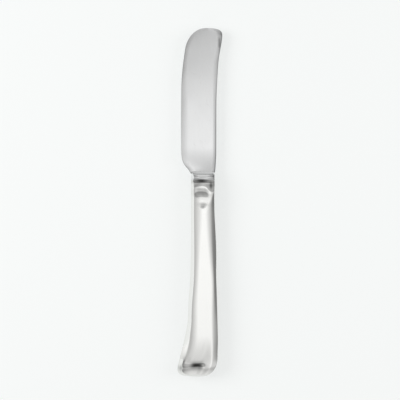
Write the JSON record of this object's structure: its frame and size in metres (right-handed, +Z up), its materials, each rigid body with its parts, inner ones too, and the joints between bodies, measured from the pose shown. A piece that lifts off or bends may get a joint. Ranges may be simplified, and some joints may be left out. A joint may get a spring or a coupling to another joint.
{
  "type": "butter knife",
  "caption": "Butter knife with a hooked, round-ended blade, a short bolster and a hollow handle that flares to one side at the butt.",
  "frame": {"origin": "middle of the flat on the back of the handle, which the knife rests on", "axes": "+Y along the knife to the blade's tip, +X to the blade's spine, +Z up through the handle's thickness"},
  "size_m": [0.0244, 0.19, 0.0098],
  "materials": {
    "blade_steel": "polished stainless steel with a fine lengthwise grain",
    "handle_steel": "mirror-polished stainless steel",
    "braze": "silver brazing alloy, polished flush",
    "cement": "dull set cement"
  },
  "bodies": {
    "root": {"blade": "blade_steel", "handle_shell_front": "handle_steel", "handle_shell_back": "handle_steel", "seam_braze": "braze", "tang_cement": "cement"}
  },
  "joints": []
}
